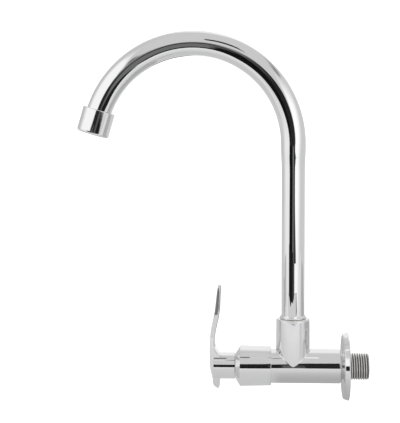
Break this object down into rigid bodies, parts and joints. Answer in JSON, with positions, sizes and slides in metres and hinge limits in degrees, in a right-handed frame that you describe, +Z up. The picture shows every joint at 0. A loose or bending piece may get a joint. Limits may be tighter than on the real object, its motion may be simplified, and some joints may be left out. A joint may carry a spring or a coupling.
{
  "type": "wall faucet",
  "caption": "Cold-water wall tap: horizontal body with a side lever on a ceramic cartridge, and a tall swan-neck spout that swivels, ending in an aerator.",
  "frame": {"origin": "on the axis of the inlet thread, in the plane of the wall, which is the wall-side rim of the flange", "axes": "+X along the inlet thread into the wall, +Z up along the spout riser, so the user stands on the -X side"},
  "size_m": [0.2243, 0.052, 0.2842],
  "materials": {
    "cast_brass_chromed": "polished chrome plate on cast brass",
    "tube_chromed": "polished chrome plate on drawn tube",
    "lever_chromed": "polished chrome plate on a casting",
    "pressed_chromed": "polished chrome plate on pressed sheet",
    "turned_brass": "turned, unplated",
    "ceramic": "ground alumina, off-white",
    "black_rubber": "moulded",
    "white_acetal": "moulded",
    "steel": "hardened, oiled",
    "stainless": "bright"
  },
  "bodies": {
    "fixed_body": {"tee_body": "cast_brass_chromed", "bonnet": "cast_brass_chromed", "headwork_body": "turned_brass", "headwork_gasket": "black_rubber", "seat_seal": "black_rubber", "fixed_disc": "ceramic", "spout_retaining_screw": "stainless"},
    "spout": {"spout_tube": "tube_chromed", "spout_foot": "turned_brass", "spout_oring_lower": "black_rubber", "spout_oring_upper": "black_rubber", "spout_slip_ring": "tube_chromed", "outlet_collar": "turned_brass", "aerator_housing": "cast_brass_chromed", "aerator_washer": "black_rubber", "aerator_jet_plate": "white_acetal", "aerator_chamber": "white_acetal", "aerator_outlet_grid": "white_acetal"},
    "handle": {"lever": "lever_chromed", "lever_set_screw": "stainless", "spindle": "turned_brass", "spindle_orings": "black_rubber", "spindle_washer": "white_acetal", "spindle_clip": "steel", "moving_disc": "ceramic"},
    "flange": {"wall_flange": "pressed_chromed"}
  },
  "joints": [
    {"name": "spout_swivel", "type": "hinge", "parent": "fixed_body", "child": "spout", "pos_m": [-0.0428, 0, 0.0265], "axis": [0, 0, 1], "range_deg": [-100, 100]},
    {"name": "lever_turn", "type": "hinge", "parent": "fixed_body", "child": "handle", "pos_m": [-0.0933, 0, 0], "axis": [-1, 0, 0], "range_deg": [0, 90]},
    {"name": "flange_slide", "type": "slide", "parent": "fixed_body", "child": "flange", "axis": [1, 0, 0], "range_m": [-0.0005, 0.01]}
  ]
}
